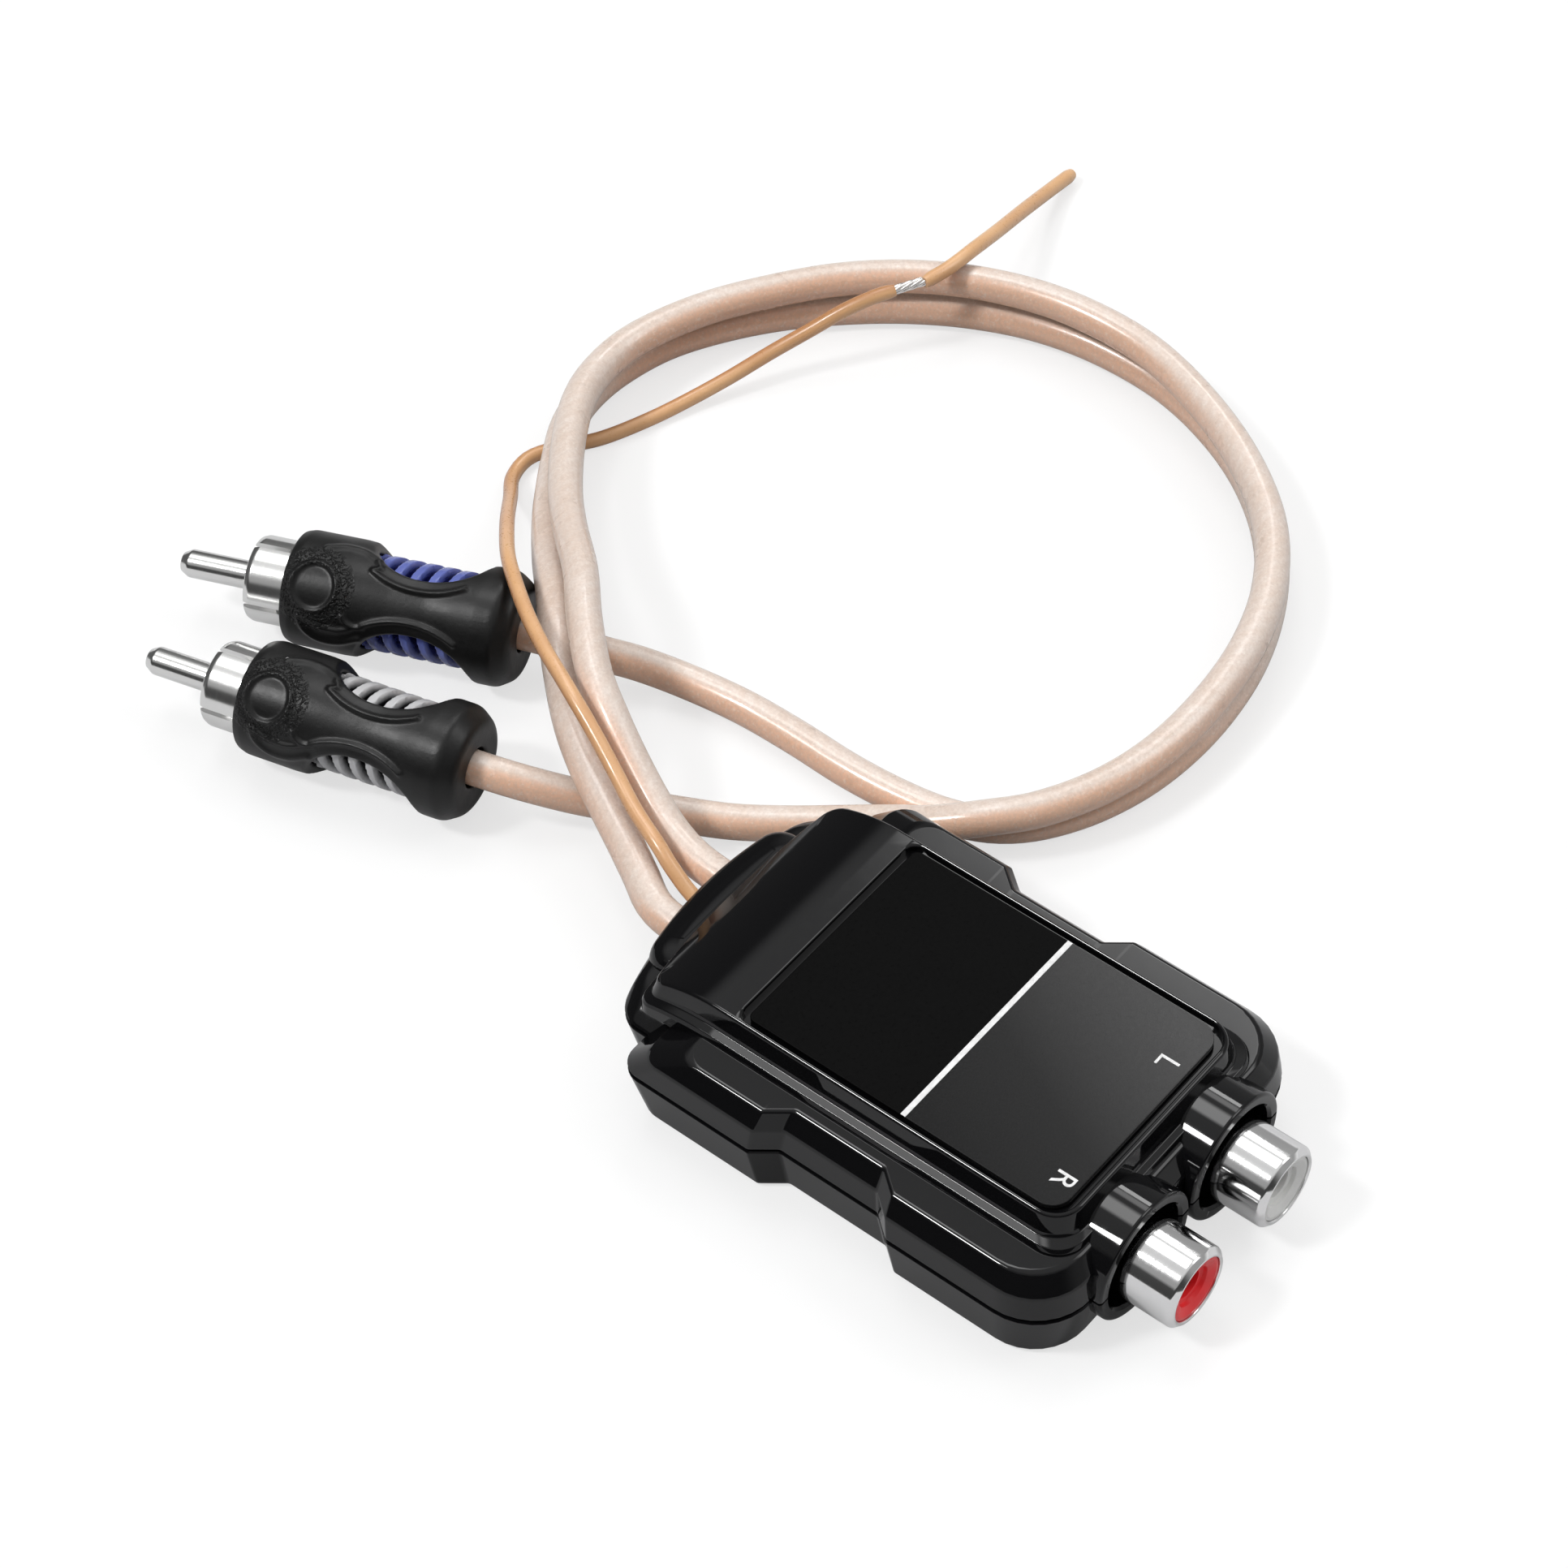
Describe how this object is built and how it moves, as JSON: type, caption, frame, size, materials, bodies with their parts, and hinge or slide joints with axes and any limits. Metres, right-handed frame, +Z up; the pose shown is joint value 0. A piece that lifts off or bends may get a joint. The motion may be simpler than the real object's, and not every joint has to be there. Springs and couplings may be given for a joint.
{
  "type": "ground loop isolator",
  "caption": "Small black box with phono jacks at one end, signal cables with phono plugs and a thin earth wire at the other.",
  "frame": {"origin": "middle of the housing and its jacks in plan, on the surface the housing stands on", "axes": "+Y from the jacks to the cable end, +Z up through the label, +X to the side of the white jack"},
  "size_m": [0.1307, 0.1371, 0.0152],
  "materials": {
    "housing_black": "glossy black",
    "label_black": "satin black",
    "jack_nickel": "bright nickel",
    "insert_red": "glossy red",
    "insert_white": "glossy white",
    "contact_nickel": "tinned",
    "board_green": "satin green",
    "core_steel": "dull steel",
    "bobbin_nylon": "natural nylon",
    "winding_copper": "enamelled copper",
    "screw_steel": "plain steel",
    "grommet_rubber": "matte black",
    "cable_jacket": "clear jacket over copper",
    "earth_jacket": "clear jacket over copper",
    "bare_strands": "tinned strands",
    "boot_rubber": "matte black",
    "sleeve_blue": "translucent blue",
    "sleeve_clear": "translucent clear",
    "plug_nickel": "bright nickel",
    "plug_insulator": "white",
    "pin_nickel": "bright nickel"
  },
  "bodies": {
    "root": {"upper_shell": "housing_black", "lower_shell": "housing_black", "label_plate": "label_black", "jack_sleeve_left": "jack_nickel", "jack_sleeve_right": "jack_nickel", "jack_insulator_left": "insert_white", "jack_insulator_right": "insert_red", "jack_contact_left": "contact_nickel", "jack_contact_right": "contact_nickel", "jack_earth_tag_left": "contact_nickel", "jack_earth_tag_right": "contact_nickel", "circuit_board": "board_green", "transformer_core_left": "core_steel", "transformer_core_right": "core_steel", "transformer_bobbin_left": "bobbin_nylon", "transformer_bobbin_right": "bobbin_nylon", "transformer_winding_left": "winding_copper", "transformer_winding_right": "winding_copper", "cable_grommet": "grommet_rubber", "screw_front_left": "screw_steel", "screw_front_right": "screw_steel", "screw_rear_left": "screw_steel", "screw_rear_right": "screw_steel", "signal_cable_left": "cable_jacket", "signal_cable_right": "cable_jacket", "earth_wire": "earth_jacket", "earth_wire_strands": "bare_strands", "earth_wire_slug": "earth_jacket", "blue_plug_boot": "boot_rubber", "blue_plug_inner_sleeve": "sleeve_blue", "blue_plug_shell": "plug_nickel", "blue_plug_insulator": "plug_insulator", "blue_plug_pin": "pin_nickel", "clear_plug_boot": "boot_rubber", "clear_plug_inner_sleeve": "sleeve_clear", "clear_plug_shell": "plug_nickel", "clear_plug_insulator": "plug_insulator", "clear_plug_pin": "pin_nickel"}
  },
  "joints": []
}
